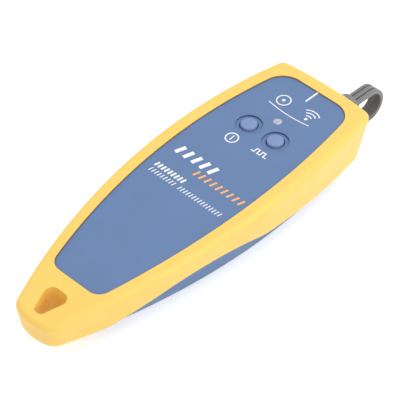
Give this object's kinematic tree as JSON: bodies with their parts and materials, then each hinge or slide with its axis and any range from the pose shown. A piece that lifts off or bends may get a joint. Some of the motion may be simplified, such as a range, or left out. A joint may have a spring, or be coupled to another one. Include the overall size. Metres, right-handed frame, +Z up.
{
  "type": "visual fault locator",
  "caption": "Hand-held visual fault locator: arched blue body in a yellow bumper with a lanyard lug, two push buttons, an indicator and a capped 2.5 mm ferrule port.",
  "frame": {"origin": "on the resting plane under the body, midway between the lanyard lug's tip and the strap loop's outermost point", "axes": "+X from the lanyard lug towards the light port, +Y across the body, +Z up through the button face"},
  "size_m": [0.1623, 0.0502, 0.0277],
  "materials": {
    "boot": "satin",
    "housing": "fine matt texture",
    "button": "satin",
    "lamp": "frosted",
    "cap_rubber": "satin",
    "nickel": "satin plated",
    "brass": "turned",
    "ceramic": "polished ceramic",
    "seal": "matt",
    "board": "solder mask",
    "component": "matt",
    "glass": "clear",
    "cell": "printed can",
    "steel": "plated"
  },
  "bodies": {
    "housing": {"overmould": "boot", "face_plate": "housing", "back_shell": "housing", "power_switch": "component", "flash_switch": "component", "status_led": "lamp", "circuit_board": "board", "driver_chip": "component", "boost_inductor": "component", "ferrule_adapter": "nickel", "ferrule_sleeve": "ceramic", "port_seal": "seal", "laser_module": "brass", "collimating_lens": "glass", "lens_ring": "brass", "laser_diode": "steel", "cell_left": "cell", "cell_right": "cell", "bridge_contact": "steel", "positive_contact": "steel", "negative_contact": "steel", "bridge_spring": "steel", "negative_spring": "steel", "housing_screws": "steel"},
    "power_button": {"power_button": "button"},
    "flash_button": {"flash_button": "button"},
    "dust_cap": {"dust_cap": "cap_rubber"},
    "battery_door": {"battery_door": "housing"}
  },
  "joints": [
    {"name": "power_button_press", "type": "slide", "parent": "housing", "child": "power_button", "axis": [0, 0, -1], "range_m": [0, 0.0005], "stiffness_N_per_m": 1500},
    {"name": "flash_button_press", "type": "slide", "parent": "housing", "child": "flash_button", "axis": [0, 0, -1], "range_m": [0, 0.0005], "stiffness_N_per_m": 1500},
    {"name": "dust_cap_pull", "type": "slide", "parent": "housing", "child": "dust_cap", "axis": [1, 0, 0], "range_m": [0, 0.03]},
    {"name": "battery_door_lift", "type": "slide", "parent": "housing", "child": "battery_door", "axis": [0, 0, -1], "range_m": [0, 0.02]}
  ]
}
